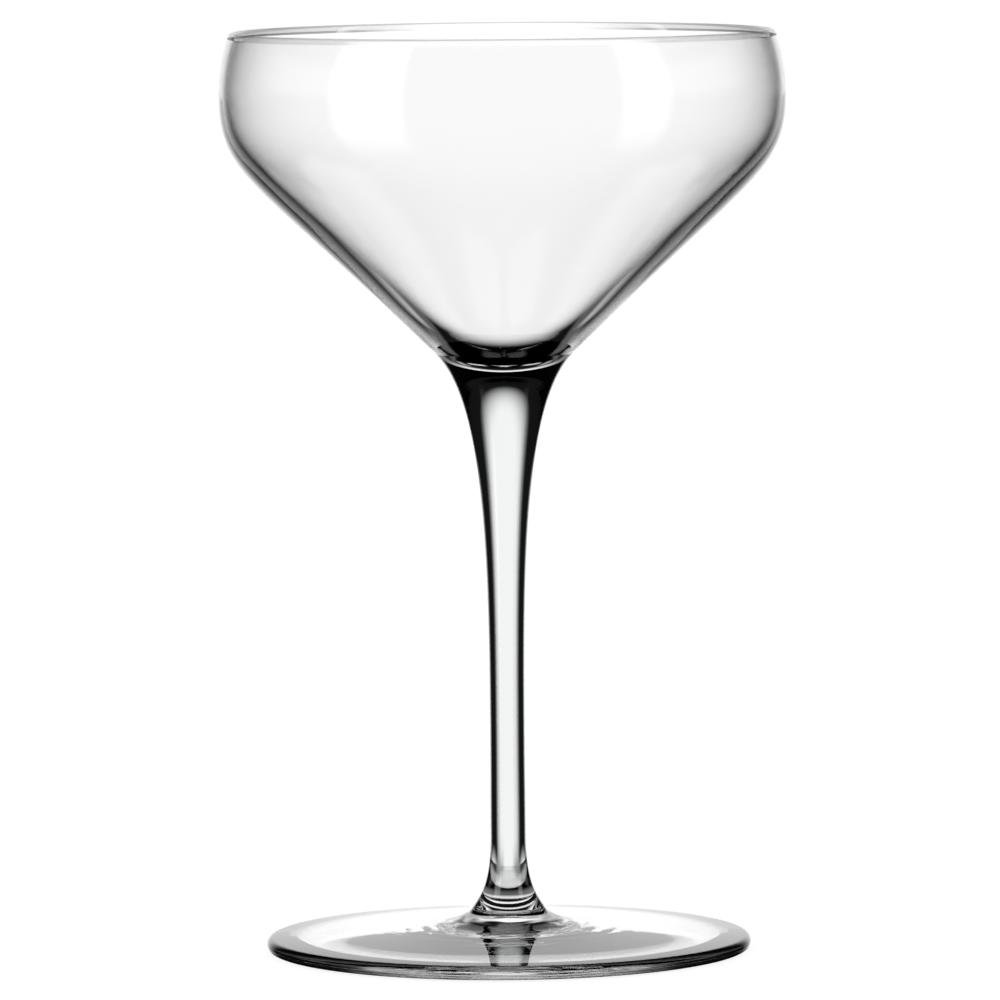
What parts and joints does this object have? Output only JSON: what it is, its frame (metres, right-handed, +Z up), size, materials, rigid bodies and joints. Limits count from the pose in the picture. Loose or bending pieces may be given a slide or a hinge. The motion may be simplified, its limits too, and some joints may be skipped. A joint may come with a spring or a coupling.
{
  "type": "coupe glass",
  "caption": "Clear stemmed coupe: a wide round-shouldered bowl with a conical base for a drink, on a slim flared stem that is held in the fingers and a flat round foot to stand on.",
  "frame": {"origin": "centre of the ring under the foot that the glass stands on", "axes": "+Z up along the axis that the whole glass is turned about; +X and +Y are free, because the glass is round"},
  "size_m": [0.1024, 0.1024, 0.1671],
  "materials": {
    "clear_glass": "fire-polished"
  },
  "bodies": {
    "root": {"bowl": "clear_glass", "stem": "clear_glass", "foot": "clear_glass"}
  },
  "joints": []
}
